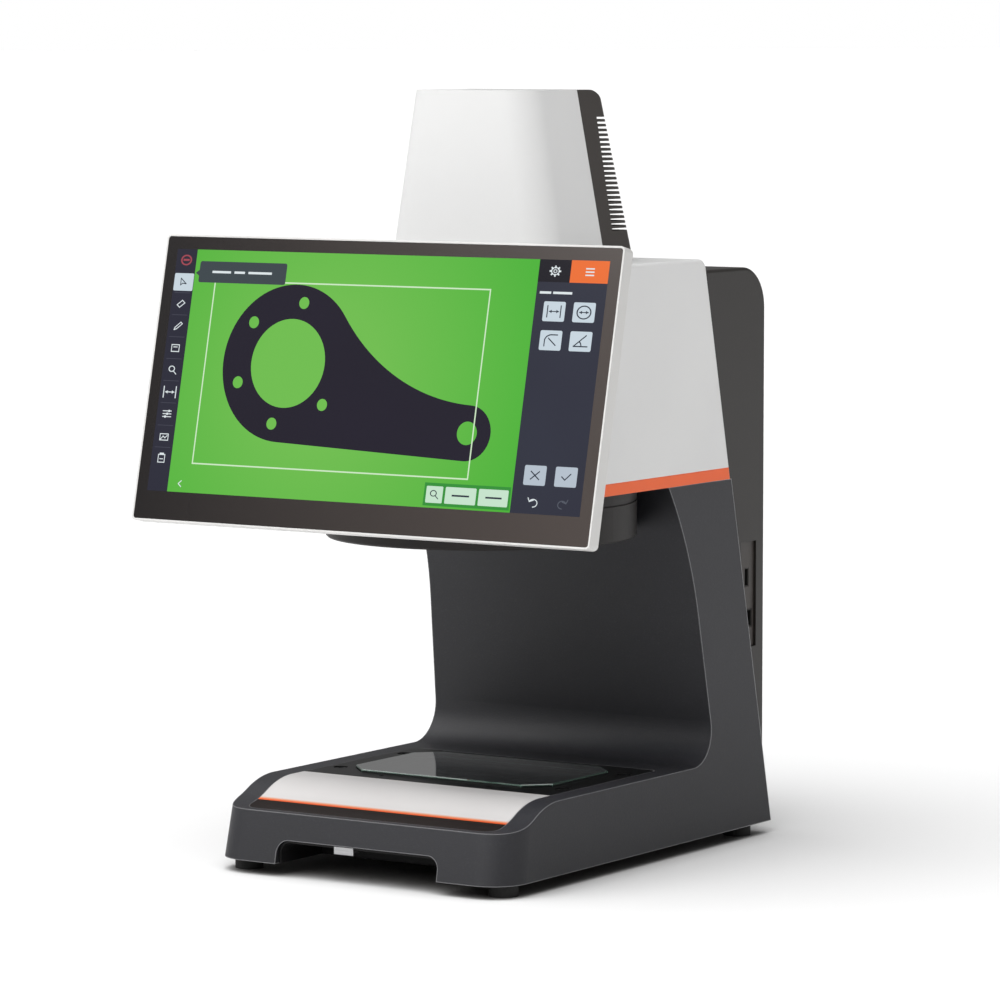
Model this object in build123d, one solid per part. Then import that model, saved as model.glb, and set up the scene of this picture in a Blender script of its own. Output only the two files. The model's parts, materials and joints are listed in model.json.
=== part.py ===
from build123d import *
import os
from math import asin, cos, degrees, radians, sin, tan

os.makedirs("parts", exist_ok=True)

# Sizes in millimetres. X is to the right of someone facing the machine,
# Y goes to its rear and Z is up from the surface that it stands on.
# While it is built, Y starts at the front edge of the base.

# Frame casting: base, column and curved throat
BODY_W = 245.0            # width of the base where it meets its feet
SIDE_TAPER = 0.047        # each side leans in by this much of the height
BASE_L = 354.0            # length of the base where it meets its feet
FRONT_LEAN = 0.2          # slope of the front wall
BACK_LEAN = 0.153         # slope of the column's back and of its lower front
BASE_CORNER_R = 26.0      # front corners of the base, seen from above
LIP_Z = 44.0              # top of the front wall
DECK_Z = 60.0             # top of the base around the stage
SWEEP_START_Y = 10.0      # where the front panel starts to sweep up
COLUMN_DEPTH = 74.6       # column at the deck, from its front to the back of the base
COLUMN_FOOT_Y = BASE_L - COLUMN_DEPTH
THROAT_R = 26.0           # fillet between the deck and the column
BEND_Z = 167.0            # where the column starts to bend forward
BEND_R = 260.0            # radius of that bend
HEAD_Z = 261.0            # top of the column, underside of the head
BASE_WALL = 10.0          # side, front and back walls of the hollow base
DECK_T = 8.0              # deck between the stage and the hollow base
COLUMN_WALL = 12.0        # side and front walls of the hollow column
FOOT_H = 9.0              # gap between the base and the table
FOOT_D = 20.0
FOOT_BOSS_R = 11.5        # boss of the frame over each foot
FOOT_X = BODY_W / 2 - 16.5  # feet, from the middle plane
FOOT_FRONT_Y = 24.0
FOOT_BACK_Y = BASE_L - 21.0

# Optical axis and the lens drum round it
DRUM_R = BODY_W / 2 - 13.0
DRUM_TO_COLUMN = 12.9     # from the drum to the column's front, carried down to the deck
AXIS_Y = COLUMN_FOOT_Y - DRUM_TO_COLUMN - DRUM_R

# Deck: panel, stage and its glass
BAY_W = BODY_W - 38.0     # width of the recess that holds panel and stage
BAY_FRONT_Y = 14.0
BAY_CORNER_R = 10.0
PANEL_T = 2.4
PANEL_BED = 0.15          # layer of glue under the panels
STRIPE_W = 1.7
STAGE_FRONT_Y = AXIS_Y - 70.6
STAGE_BACK_Y = AXIS_Y + 69.0
SWEEP_END_Y = STAGE_FRONT_Y - 14.4  # where the front panel has levelled out
STRIPE_Y = 0.353 * STAGE_FRONT_Y  # orange line across the front panel
STAGE_T = 7.0
STAGE_CORNER_R = 6.0
STAGE_CLEAR = 0.2
GLASS_W = BAY_W - 41.0
GLASS_L = 104.0
GLASS_CORNER = 16.0
GLASS_T = 4.0
GLASS_PROUD = 2.0         # glass above the deck
GLASS_CLEAR = 0.3
GLASS_SILL = 10.0         # ledge that the glass lies on
LIGHT_W = GLASS_W - 2 * GLASS_SILL
LIGHT_L = GLASS_L - 2 * GLASS_SILL
FIXTURE_X = 90.0          # spacing of the tapped fixture holes
FIXTURE_Y = 118.0
FIXTURE_R = 1.65          # tapping drill for M4
CLAMP_X = BAY_W - 20.0    # spacing of the screws that hold the stage
CLAMP_Y = 80.0
CLAMP_HEAD_R = 4.6
CLAMP_SHANK_R = 2.4

# Recess for the hand under the front wall
GRIP_W = 134.0
GRIP_Z = 25.5
GRIP_R = 9.0
GRIP_DEPTH = 0.6 * (STAGE_FRONT_Y - BASE_WALL)
SHEET_T = 1.5
CLIP_W = 16.0
CLIP_X = -11.5
CLIP_H = 5.0

# Head cover and its orange band
HEAD_TOP_Z = 419.5
HEAD_FRONT_Y = AXIS_Y - DRUM_R - 5.5  # front of the head at its underside
HEAD_FRONT_R = 26.0
HEAD_BACK_R = 3.0
HEAD_SIDE_X = BODY_W / 2 - 32.5  # edges beyond this are on the head's sides
HEAD_TOP_R = 8.0
COVER_T = 3.0
BAND_H = 8.4
BAND_T = 2.5
HEAD_PLATE_T = 8.0

# Tower over the camera
TOWER_H = 120.5
TOWER_TOP_Z = HEAD_TOP_Z + TOWER_H
TOWER_TOP_W = 100.0
TOWER_FOOT_W = 140.0
TOWER_TOP_FRONT_Y = AXIS_Y - 18.0
TOWER_FOOT_FRONT_Y = AXIS_Y - 20.0
TOWER_BOW = 8.0           # how far the front bows out
TOWER_TOP_BACK_Y = AXIS_Y + 80.0
TOWER_FOOT_BACK_Y = AXIS_Y + 94.0
TOWER_TOP_JOINT_Y = AXIS_Y + 46.0  # joint of front and rear cover
TOWER_FOOT_JOINT_Y = AXIS_Y + 52.0
TOWER_FRONT_R = 24.0
TOWER_BACK_R = 7.0
TOWER_CROWN_R = 20.0      # rounding from the top into the back
TOWER_T = 2.5
SLOT_COUNT = 24
SLOT_PITCH = 3.4
SLOT_GAP = 1.6
SLOT_FIRST_Z = 441.0
SLOT_FRONT_Y = AXIS_Y + 67.0
SLOT_RIB_W = 14.0         # rib left in the middle of the back

# Rear housing and what it holds
HOUSING_W = BODY_W - 39.0
HOUSING_BACK_Y = BASE_L + 22.0
HOUSING_TOP_Z = 411.5
HOUSING_FOOT_Z = 46.0
HOUSING_CROWN_R = 30.0
HOUSING_EDGE_R = 2.5
HOUSING_T = 2.5
HOUSING_POST_X = HOUSING_W / 2 - 10.0  # posts on the frame that the housing is screwed to
HOUSING_POST_R = 3.0
HOUSING_POST_SINK = 8.0
PORT_Y = HOUSING_BACK_Y - 33.0  # front edge of the port panel on the right side
PORT_W = 21.0
PORT_Z = 135.0
PORT_H = 77.0
PORT_DEPTH = 3.0

# Mains inlet and switch on the back
INLET_X = -58.0
INLET_Z = 84.0
INLET_W = 27.2
INLET_H = 19.8
INLET_DEPTH = 24.0
SWITCH_STEP = 32.0        # from the inlet to the switch
SWITCH_W = 12.8
SWITCH_H = 19.2
ROCKER_SWING = 9.0        # degrees each way from level

# Lens, ring light and camera
DRUM_Z = 227.6            # underside of the drum
DRUM_RELIEF = 1.5         # clearance of the drum in the column
DRUM_GROOVE_Z = 253.0
DRUM_EDGE = 1.2           # chamfer under the drum
RING_W = 19.0             # ring of lights round the lens
RING_OUTER_R = DRUM_R - 6.5
RING_INNER_R = RING_OUTER_R - RING_W
RING_DEPTH = 9.0
RING_LEDS = 24
LENS_R = RING_INNER_R - 6.0
LENS_T = 17.0
LENS_EDGE = 5.0           # thickness that the lens loses towards its rim
LENS_SLOPE_W = 22.0
BARREL_R = LENS_R + 2.0
BARREL_FLANGE_R = BARREL_R + 10.0
BARREL_WAIST_R = 44.0
BARREL_WAIST_Z = 330.0
BARREL_NECK_R = 15.0
BARREL_NECK_Z = 392.0
BARREL_T = 3.0
BARREL_TOP_Z = 440.0
CAMERA_W = 29.0
CAMERA_H = 42.0

# Boards and supply behind the column
SUPPLY_Z = 76.0
SUPPLY_W = 110.0
SUPPLY_H = 122.0
SUPPLY_DEPTH = 38.0
BRACKET_INSET = 8.0       # bracket ends inside the supply's height
BOARD_W = HOUSING_W - 34.0
BOARD_Z = 236.0
BOARD_H = 124.0
BOARD_T = 1.6
BOARD_POST_INSET = 8.0
SINK_W = 60.0
SINK_Z = 270.0
SINK_DEPTH = 20.0
SINK_BASE_T = 4.0
SINK_FINS = 9
SINK_FIN_T = 2.0

# Cooling fan in the tower
FAN_W = TOWER_H / 2
FAN_T = 15.0
FAN_Z = HEAD_TOP_Z + 0.4 * TOWER_H
FAN_BORE_R = FAN_W / 2 - 2.0
FAN_HUB_R = 0.2 * FAN_W
FAN_BLADES = 7
FAN_TIP_GAP = 1.2
FAN_SHAFT_R = 1.5
FAN_SHAFT_CLEAR = 0.05
FAN_BRACKET_T = 2.0

# Display
SCREEN_W = 357.2          # lit area
SCREEN_H = 171.1
SCREEN_Y = HEAD_FRONT_Y - 19.0  # middle of the lit area
SCREEN_Z = 345.5
SCREEN_TILT = 12.65       # lean back at rest, in degrees
BEZEL_SIDE = 8.9
BEZEL_TOP = 8.9
BEZEL_FOOT = 19.8
BEZEL_R = 2.0
COVER_GLASS_T = 1.8
RIM_T = 1.5               # silver edge around the cover glass
SHELL_DEPTH = 14.0
SHELL_BACK_R = 4.5
SHELL_T = 2.0
BULGE_W = 230.0
BULGE_H = 120.0
BULGE_DEPTH = 8.0
BULGE_DRAFT = 6.0
BULGE_R = 8.0
BULGE_T = 2.5
PIVOT_DEPTH = 30.0        # hinge axis behind the front of the glass
KNUCKLE_R = 6.5
PIN_R = 3.0
PIN_CLEAR = 0.05          # running fit of the pin in the moving knuckles
KNUCKLE_GAP = 0.3
ARM_W = 42.0
EAR_W = 10.0
MOUNT_PLATE_W = 100.0
MOUNT_PLATE_H = 80.0
MOUNT_PLATE_T = 2.5

# Small fits
SEAT = 0.3                # small clearance between neighbours
SCREW_SHANK_R = 1.4
SCREW_HEAD_R = 2.9
SCREW_HEAD_H = 1.6


def block(x0, x1, y0, y1, z0, z1):
    size = Box(x1 - x0, y1 - y0, z1 - z0)
    return Pos((x0 + x1) / 2, (y0 + y1) / 2, (z0 + z1) / 2) * size


def disc(x, y, z0, z1, radius):
    return Pos(x, y, (z0 + z1) / 2) * Cylinder(radius, z1 - z0)


def hexagon(x, y, z0, z1, radius):
    return Pos(x, y, z0) * extrude(RegularPolygon(radius, 6), z1 - z0)


def across(face, half_width):
    """A YZ outline, drawn as (y, z), carried to both sides of the middle."""
    return extrude(Plane.YZ * face, amount=half_width, both=True)


def outline(*points):
    return make_face(Polyline(*points, close=True))


def half_width(z):
    return BODY_W / 2 - SIDE_TAPER * (z - FOOT_H)


def back_y(z):
    return BASE_L - BACK_LEAN * (z - FOOT_H)


def front_y(z):
    return FRONT_LEAN * (z - FOOT_H)


def head_front_y(z):
    return HEAD_FRONT_Y + tan(radians(SCREEN_TILT)) * (z - HEAD_Z)


def side_wedges(z0, z1, inset=0.0):
    """Body with tapered sides between two heights, long enough for all of it."""
    low = Pos(0, BASE_L / 2, z0) * Rectangle(2 * (half_width(z0) - inset), 3 * BASE_L)
    high = Pos(0, BASE_L / 2, z1) * Rectangle(2 * (half_width(z1) - inset), 3 * BASE_L)
    return loft([low, high])


parts = {}


def sweep_line(drop=0.0):
    """The S-shaped line of the front panel, from the front wall up to the deck."""
    run = (SWEEP_END_Y - SWEEP_START_Y) / 2
    rise = (DECK_Z - LIP_Z) / 2
    radius = (run ** 2 + rise ** 2) / (2 * rise)
    start = Vector(SWEEP_START_Y, LIP_Z - drop)
    middle = start + Vector(run, rise)
    end = middle + Vector(run, rise)
    hollow = RadiusArc(start, middle, -radius)
    crest = RadiusArc(middle, end, radius)
    return hollow + crest


def frame_outline():
    foot = Vector(COLUMN_FOOT_Y, DECK_Z)
    bend = Vector(COLUMN_FOOT_Y - BACK_LEAN * (BEND_Z - DECK_Z), BEND_Z)
    upward = (bend - foot).normalized()
    lean = asin(-upward.X)
    top_lean = asin(sin(lean) + (HEAD_Z - BEND_Z) / BEND_R)
    bow = JernArc(bend, upward, BEND_R, degrees(top_lean - lean))
    front = Polyline((0, FOOT_H), (front_y(LIP_Z), LIP_Z), (SWEEP_START_Y, LIP_Z))
    deck = Polyline((SWEEP_END_Y, DECK_Z), foot, bend)
    back = Polyline(bow @ 1, (back_y(HEAD_Z), HEAD_Z), (BASE_L, FOOT_H), (0, FOOT_H))
    face = make_face([*front.edges(), *sweep_line().edges(), *deck.edges(), bow, *back.edges()])
    corner = face.vertices().sort_by_distance(foot)[0]
    return fillet(corner, THROAT_R)


def panel_slab(drop, front, back, half, corner_r):
    """A plate that follows the sweep of the base, cut to shape in plan."""
    top = sweep_line()
    lower = sweep_line(drop)
    rim = Polyline((front, LIP_Z), top @ 0)
    level = Polyline(top @ 1, (back, DECK_Z), (back, DECK_Z - drop), lower @ 1)
    under = Polyline(lower @ 0, (front, LIP_Z - drop), (front, LIP_Z))
    edges = [*rim.edges(), *top.edges(), *level.edges(), *lower.edges(), *under.edges()]
    plan = Pos(0, (front + back) / 2) * Rectangle(2 * half, back - front)
    corners = plan.vertices().group_by(Axis.Y)[0]
    return across(make_face(edges), half) & extrude(fillet(corners, corner_r), DECK_Z * 2)


def base_frame():
    body = across(frame_outline(), BODY_W) & side_wedges(FOOT_H, HEAD_Z)
    front_corners = body.edges().filter_by(GeomType.LINE).filter_by(
        lambda e: (e @ 0.5).Y < front_y(LIP_Z) and abs((e @ 0.5).X) > BODY_W / 3 and abs((e % 0.5).Z) > 0.9)
    body = fillet(front_corners, BASE_CORNER_R)
    # recess for the panel, deeper under the stage
    body -= panel_slab(PANEL_T, BAY_FRONT_Y, STAGE_FRONT_Y + 1, BAY_W / 2, BAY_CORNER_R)
    body -= stage_plan(0, DECK_Z - STAGE_T, DECK_Z + 1)
    # hollow base, open underneath
    deck_under = DECK_Z - STAGE_T - DECK_T
    inner_x = half_width(DECK_Z) - BASE_WALL
    body -= block(-inner_x, inner_x, STAGE_FRONT_Y, BASE_L - BASE_WALL, 0, deck_under)
    body -= block(-inner_x, inner_x, BASE_WALL + SWEEP_START_Y, STAGE_FRONT_Y + 1, 0, LIP_Z - DECK_T)
    body -= light_window(DECK_Z - STAGE_T - DECK_T - 1, DECK_Z)
    # hand recess through the front wall
    grip = Plane.XZ * fillet(Rectangle(GRIP_W, 2 * (GRIP_Z - FOOT_H)).vertices(), GRIP_R)
    body -= Pos(0, 0, FOOT_H) * extrude(grip, amount=BASE_WALL * 4, both=True)
    # hollow column, open at the back where the rear housing covers it
    inner = half_width(HEAD_Z) - COLUMN_WALL
    relief_y = AXIS_Y + DRUM_R + DRUM_RELIEF + COLUMN_WALL
    column = outline((COLUMN_FOOT_Y + COLUMN_WALL, deck_under + DECK_T), (HOUSING_BACK_Y, deck_under + DECK_T),
                     (HOUSING_BACK_Y, HEAD_Z - COLUMN_WALL), (relief_y, HEAD_Z - COLUMN_WALL),
                     (relief_y, DRUM_Z - COLUMN_WALL))
    body -= across(column, inner)
    # relief for the lens drum, and the cable hole to the head
    body -= disc(0, AXIS_Y, DRUM_Z - DRUM_RELIEF, HEAD_Z + 1, DRUM_R + DRUM_RELIEF)
    body -= disc(0, (relief_y + back_y(HEAD_Z)) / 2 - 2, HEAD_Z - COLUMN_WALL - 1, HEAD_Z + 1, 9)
    return body


def stage_plan(clear, z0, z1):
    length = STAGE_BACK_Y - STAGE_FRONT_Y
    plan = Rectangle(BAY_W - 2 * clear, length - 2 * clear)
    plan = fillet(plan.vertices().group_by(Axis.Y)[-1], STAGE_CORNER_R - clear)
    return Pos(0, STAGE_FRONT_Y + length / 2, z0) * extrude(plan, z1 - z0)


def light_window(z0, z1):
    return block(-LIGHT_W / 2, LIGHT_W / 2, AXIS_Y - LIGHT_L / 2, AXIS_Y + LIGHT_L / 2, z0, z1)


def front_panels():
    """Light panel, orange line and dark strip, side by side on the sweep."""
    half = BAY_W / 2 - STAGE_CLEAR
    slab = panel_slab(PANEL_T - PANEL_BED, BAY_FRONT_Y + STAGE_CLEAR, STAGE_FRONT_Y - STAGE_CLEAR, half, BAY_CORNER_R)
    stripe_back = STRIPE_Y + STRIPE_W

    def part_of(y0, y1):
        return slab & block(-BODY_W, BODY_W, y0, y1, 0, DECK_Z + 1)

    parts["front_strip"] = part_of(0, STRIPE_Y)
    parts["front_stripe"] = part_of(STRIPE_Y, stripe_back)
    parts["front_panel"] = part_of(stripe_back, STAGE_FRONT_Y)


def at_corners(span_x, span_y, x, y, piece):
    """Copies of a piece at the four corners of a rectangle round (x, y)."""
    spots = [(x + i * span_x / 2, y + j * span_y / 2) for i in (-1, 1) for j in (-1, 1)]
    return [Pos(px, py, 0) * piece for px, py in spots]


def glass_plate(grow, z0, z1):
    plan = Rectangle(GLASS_W + 2 * grow, GLASS_L + 2 * grow)
    plan = chamfer(plan.vertices(), GLASS_CORNER)
    return Pos(0, AXIS_Y, z0) * extrude(plan, z1 - z0)


def stage():
    floor = DECK_Z - STAGE_T
    glass_z = DECK_Z + GLASS_PROUD - GLASS_T
    plate = stage_plan(STAGE_CLEAR, floor, DECK_Z)
    plate -= light_window(0, DECK_Z + 1)
    plate -= glass_plate(GLASS_CLEAR, glass_z, DECK_Z + 1)
    hole = disc(0, 0, 0, DECK_Z + 1, FIXTURE_R)
    plate -= at_corners(FIXTURE_X, FIXTURE_Y, 0, AXIS_Y, hole)
    shank = disc(0, 0, 0, DECK_Z + 1, CLAMP_SHANK_R + 0.3)
    sink = disc(0, 0, DECK_Z - 4.5, DECK_Z + 1, CLAMP_HEAD_R + 0.6)
    plate -= at_corners(CLAMP_X, CLAMP_Y, 0, AXIS_Y, shank + sink)
    parts["stage_frame"] = plate
    parts["stage_glass"] = chamfer(glass_plate(0, glass_z, DECK_Z + GLASS_PROUD).edges().group_by(Axis.Z)[-1], 0.5)
    screw = disc(0, 0, floor - DECK_T + 0.5, DECK_Z - 4.2, CLAMP_SHANK_R)
    screw += disc(0, 0, DECK_Z - 4.5, DECK_Z - 0.7, CLAMP_HEAD_R)
    screw -= Pos(0, 0, DECK_Z - 1.7) * extrude(RegularPolygon(2.3, 6), 2)
    parts["stage_screws"] = Compound(at_corners(CLAMP_X, CLAMP_Y, 0, AXIS_Y, screw))
    return at_corners(CLAMP_X, CLAMP_Y, 0, AXIS_Y, disc(0, 0, floor - DECK_T, DECK_Z, CLAMP_SHANK_R))


def along_x(x0, x1, y, z, radius):
    return Pos((x0 + x1) / 2, y, z) * Rot(0, 90, 0) * Cylinder(radius, x1 - x0)


def along_y(x, y0, y1, z, radius):
    return Pos(x, (y0 + y1) / 2, z) * Rot(90, 0, 0) * Cylinder(radius, y1 - y0)


def feet_and_bottom():
    inner_x = half_width(DECK_Z) - BASE_WALL
    plate_top = FOOT_H + SHEET_T
    spots = [(i * FOOT_X, y) for i in (-1, 1) for y in (FOOT_FRONT_Y, FOOT_BACK_Y)]
    foot = disc(0, 0, 0, FOOT_H, FOOT_D / 2)
    foot -= disc(0, 0, 0, FOOT_H - 2.5, SCREW_HEAD_R + 1.2)
    foot -= disc(0, 0, 0, FOOT_H, SCREW_SHANK_R + 0.2)
    screw = hexagon(0, 0, FOOT_H - 2.5 - SCREW_HEAD_H, FOOT_H - 2.5, SCREW_HEAD_R)
    screw += disc(0, 0, FOOT_H - 2.5, FOOT_H + 9, SCREW_SHANK_R)
    parts["rubber_feet"] = Compound([Pos(x, y, 0) * foot for x, y in spots])
    parts["foot_screws"] = Compound([Pos(x, y, 0) * screw for x, y in spots])

    pan_w = GRIP_W + 2 * SHEET_T
    pan_back = BASE_WALL + GRIP_DEPTH
    plate = block(-inner_x + SEAT, inner_x - SEAT, BASE_WALL + SWEEP_START_Y + SEAT,
                  BASE_L - BASE_WALL - SEAT, FOOT_H, plate_top)
    plate -= block(-pan_w / 2, pan_w / 2, 0, pan_back + SEAT, 0, plate_top + 1)
    for x, y in spots:
        plate -= disc(x, y, 0, plate_top + 1, FOOT_BOSS_R + 0.5)
    holes = [(i * inner_x * 0.86, y) for i in (-1, 1) for y in (pan_back + 14, AXIS_Y + 40, FOOT_BACK_Y - 30)]
    for x, y in holes:
        plate -= disc(x, y, 0, plate_top + 1, SCREW_SHANK_R + 0.2)
    parts["bottom_plate"] = plate
    pin = hexagon(0, 0, FOOT_H - SCREW_HEAD_H, FOOT_H, SCREW_HEAD_R) + disc(0, 0, FOOT_H, FOOT_H + 8, SCREW_SHANK_R)
    parts["bottom_screws"] = Compound([Pos(x, y, 0) * pin for x, y in holes])

    def grip_shape(inset, y0, y1):
        plan = Rectangle(GRIP_W - 2 * inset, 2 * (GRIP_Z - FOOT_H - inset))
        plan = fillet(plan.vertices(), GRIP_R - inset)
        return Pos(0, y1, FOOT_H) * extrude(Plane.XZ * plan, amount=y1 - y0)

    front = SWEEP_START_Y / 2
    pan = grip_shape(SEAT, front, pan_back) - grip_shape(SEAT + SHEET_T, front - 1, pan_back - SHEET_T)
    pan &= block(-BODY_W, BODY_W, 0, BASE_L, FOOT_H, DECK_Z)
    parts["grip_pan"] = pan
    under = GRIP_Z - SEAT - SHEET_T
    clip = block(CLIP_X - CLIP_W / 2, CLIP_X + CLIP_W / 2, front - 1.5, front + 8, under - 2, under)
    lip = block(CLIP_X - CLIP_W / 2, CLIP_X + CLIP_W / 2, front - 1.5, front, under + 1.2 - CLIP_H, under + 1.2)
    parts["pan_clip"] = clip + lip

    def boss(x, y, z0, radius):
        ceiling = LIP_Z - DECK_T if y < STAGE_FRONT_Y else DECK_Z - STAGE_T - DECK_T
        return disc(x, y, z0, ceiling + 1, radius)

    bosses = [boss(x, y, FOOT_H, FOOT_BOSS_R) for x, y in spots]
    bosses += [boss(x, y, plate_top, 4) for x, y in holes]
    drills = [disc(x, y, 0, FOOT_H + 10, SCREW_SHANK_R) for x, y in spots + holes]
    return bosses, drills


def backlight():
    top = DECK_Z - STAGE_T - DECK_T
    floor = FOOT_H + 12
    x, y = LIGHT_W / 2 + 10, LIGHT_L / 2 + 18

    def layer(inset, z0, z1):
        return block(-x + inset, x - inset, AXIS_Y - y + inset, AXIS_Y + y - inset, z0, z1)

    tray = layer(0, floor, top) - layer(3, floor + 3, top + 1)
    tray += layer(3, floor + 3, floor + 5) - layer(9, floor, top)
    tray += layer(3, top - 9, top - 6) - layer(6, floor, top)
    parts["backlight_tray"] = tray
    parts["backlight_diffuser"] = layer(3 + SEAT, top - 6, top - 3)
    parts["backlight_board"] = layer(3 + SEAT, floor + 5, floor + 6.6)
    led = Box(4, 4, 1.2)
    columns, rows = 8, 5
    spots = [((i - (columns - 1) / 2) * LIGHT_W / columns, AXIS_Y + (j - (rows - 1) / 2) * LIGHT_L / rows)
             for i in range(columns) for j in range(rows)]
    parts["backlight_leds"] = Compound([Pos(px, py, floor + 7.2) * led for px, py in spots])


def head_block(z0, z1, inset, crown=0.0):
    """Solid of the head between two heights, moved in on all sides by inset."""
    shape = outline((head_front_y(z0) + inset, z0), (head_front_y(z1) + inset, z1),
                    (back_y(z1) - inset, z1), (back_y(z0) - inset, z0))
    if crown:
        corner = shape.vertices().sort_by_distance((back_y(z1), z1))[0]
        shape = fillet(corner, crown - inset)
    body = across(shape, BODY_W) & side_wedges(z0, z1, inset)
    upright = body.edges().filter_by(lambda e: abs((e % 0.5).Z) > 0.9).sort_by(Axis.Y)
    body = fillet(upright[:2], HEAD_FRONT_R - inset)
    if inset >= HEAD_BACK_R:
        return body
    rear = body.edges().filter_by(lambda e: (e @ 0.5).Y > AXIS_Y + 90 and abs((e @ 0.5).X) > HEAD_SIDE_X)
    return fillet(rear, HEAD_BACK_R - inset)


def head():
    cover_z = HEAD_Z + BAND_H
    plate_top = HEAD_Z + HEAD_PLATE_T
    parts["head_band"] = head_block(HEAD_Z, cover_z, 0) - head_block(HEAD_Z - 1, cover_z + 1, BAND_T)
    shell = head_block(cover_z, HEAD_TOP_Z, 0, HEAD_TOP_R)
    shell -= head_block(cover_z - 1, HEAD_TOP_Z - COVER_T, COVER_T, HEAD_TOP_R)
    # openings for the camera and for the display's arm
    shell -= tower_solid(2 * TOWER_T + 6, HEAD_TOP_Z - COVER_T - 1, HEAD_TOP_Z + 1)
    neck = block(-ARM_W / 2 - 1, ARM_W / 2 + 1, PIVOT_DEPTH, PIVOT_DEPTH + 20, -KNUCKLE_R, KNUCKLE_R)
    shell -= on_screen(neck)
    parts["head_cover"] = shell
    plate = head_block(HEAD_Z, plate_top, BAND_T)
    plate -= disc(0, AXIS_Y, 0, plate_top + 1, BARREL_R + 0.5)
    plate -= disc(0, back_y(HEAD_Z) - 24, 0, plate_top + 1, 9)
    parts["head_plate"] = plate


def on_screen(piece):
    """From the display's own frame, with Y behind its glass, to its place."""
    return Pos(0, SCREEN_Y, SCREEN_Z) * Rot(-SCREEN_TILT, 0, 0) * piece


def tower_plan(z, inset):
    rise = (z - HEAD_TOP_Z) / (TOWER_TOP_Z - HEAD_TOP_Z)

    def between(foot, top):
        return foot + (top - foot) * rise

    x = between(TOWER_FOOT_W, TOWER_TOP_W) / 2 - inset
    front = between(TOWER_FOOT_FRONT_Y, TOWER_TOP_FRONT_Y) + inset
    back = between(TOWER_FOOT_BACK_Y, TOWER_TOP_BACK_Y) - inset
    bow = ThreePointArc((-x, front), (0, front - TOWER_BOW), (x, front))
    sides = Polyline((x, front), (x, back), (-x, back), (-x, front))
    face = make_face([bow, *sides.edges()])
    rows = face.vertices().group_by(Axis.Y)
    face = fillet(rows[0], TOWER_FRONT_R - inset)
    if inset < TOWER_BACK_R / 3:
        face = fillet(face.vertices().filter_by(lambda v: v.Y > back - 0.01), TOWER_BACK_R - inset)
    return Pos(0, 0, z) * face


def tower_solid(inset, z0, z1):
    return loft([tower_plan(z0, inset), tower_plan(z1, inset)])


def crown_cut(inset):
    """Side view of the tower, to round its top into its back."""
    face = outline((0, HEAD_TOP_Z - 2), (0, TOWER_TOP_Z - inset), (TOWER_TOP_BACK_Y - inset, TOWER_TOP_Z - inset),
                   (TOWER_FOOT_BACK_Y - inset, HEAD_TOP_Z - 2))
    corner = face.vertices().sort_by_distance((TOWER_TOP_BACK_Y, TOWER_TOP_Z))[0]
    return across(fillet(corner, TOWER_CROWN_R - inset), BODY_W)


def tower():
    shell = tower_solid(0, HEAD_TOP_Z, TOWER_TOP_Z) & crown_cut(0)
    shell -= tower_solid(TOWER_T, HEAD_TOP_Z - 1, TOWER_TOP_Z) & crown_cut(TOWER_T)
    joint = outline((0, HEAD_TOP_Z), (TOWER_FOOT_JOINT_Y, HEAD_TOP_Z), (TOWER_TOP_JOINT_Y, TOWER_TOP_Z),
                    (0, TOWER_TOP_Z))
    ahead = across(joint, BODY_W)
    parts["tower_front_cover"] = shell & ahead
    back = shell - ahead
    for i in range(SLOT_COUNT):
        z = SLOT_FIRST_Z + i * SLOT_PITCH
        for side in (-1, 1):
            ends = sorted((side * SLOT_RIB_W / 2, side * TOWER_FOOT_W))
            back -= block(*ends, SLOT_FRONT_Y, HOUSING_BACK_Y, z, z + SLOT_GAP)
    parts["tower_back_cover"] = back


def housing_outline(inset, open_front):
    """Side view of the rear housing, which closes against the column's back."""
    top, foot = HOUSING_TOP_Z - inset, HOUSING_FOOT_Z + inset
    ahead = BODY_W if open_front else 0
    face = outline((back_y(foot) - ahead, foot), (HOUSING_BACK_Y - inset, foot), (HOUSING_BACK_Y - inset, top),
                   (back_y(top) - ahead, top))
    corner = face.vertices().sort_by_distance((HOUSING_BACK_Y, HOUSING_TOP_Z))[0]
    face = fillet(corner, HOUSING_CROWN_R - inset)
    if open_front:
        return face
    corner = face.vertices().sort_by_distance((HOUSING_BACK_Y, HOUSING_FOOT_Z))[0]
    return fillet(corner, HOUSING_EDGE_R)


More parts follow.
